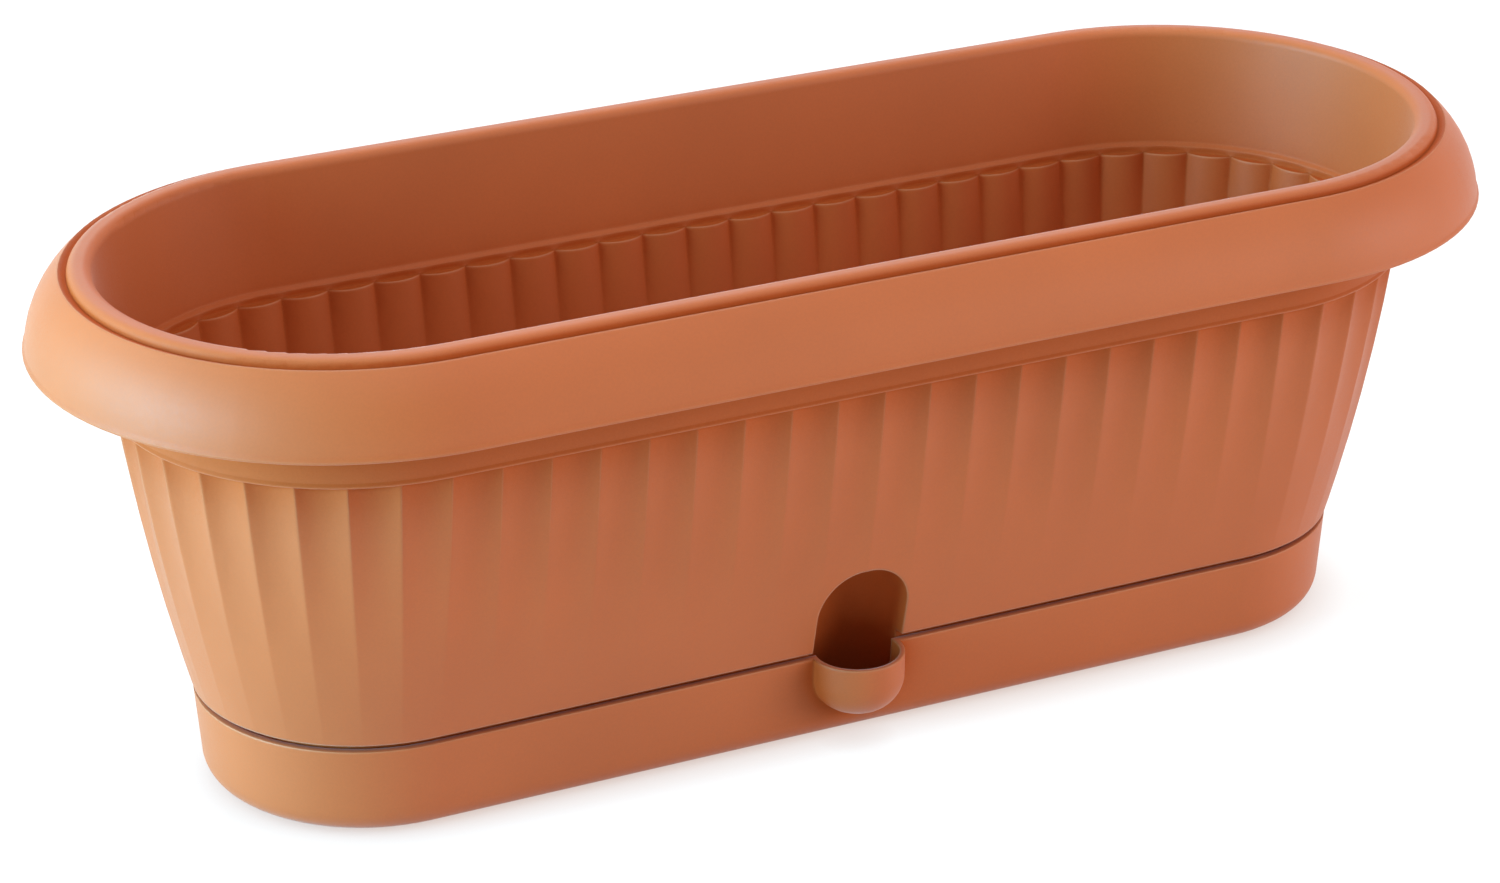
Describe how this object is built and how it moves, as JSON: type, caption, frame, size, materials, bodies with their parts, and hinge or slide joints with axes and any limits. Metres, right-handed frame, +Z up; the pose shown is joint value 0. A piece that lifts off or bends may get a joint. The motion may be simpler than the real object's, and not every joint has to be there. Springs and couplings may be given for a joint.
{
  "type": "balcony planter trough",
  "caption": "Oval fluted plastic trough with a wide rolled rim that stands in a shallow drip tray and is watered through a small cup at the front.",
  "frame": {"origin": "bottom centre of the drip tray, on the surface that it stands on", "axes": "X along the length, Y from the watering port towards the back, Z up"},
  "size_m": [0.4, 0.164, 0.1415],
  "materials": {
    "terracotta_plastic": "moulded satin, through-coloured terracotta polypropylene"
  },
  "bodies": {
    "tray": {"drip_tray": "terracotta_plastic"},
    "box": {"planter_box": "terracotta_plastic"}
  },
  "joints": [
    {"name": "box_lift", "type": "slide", "parent": "tray", "child": "box", "axis": [0, 0, 1], "range_m": [0, 0.06]}
  ]
}
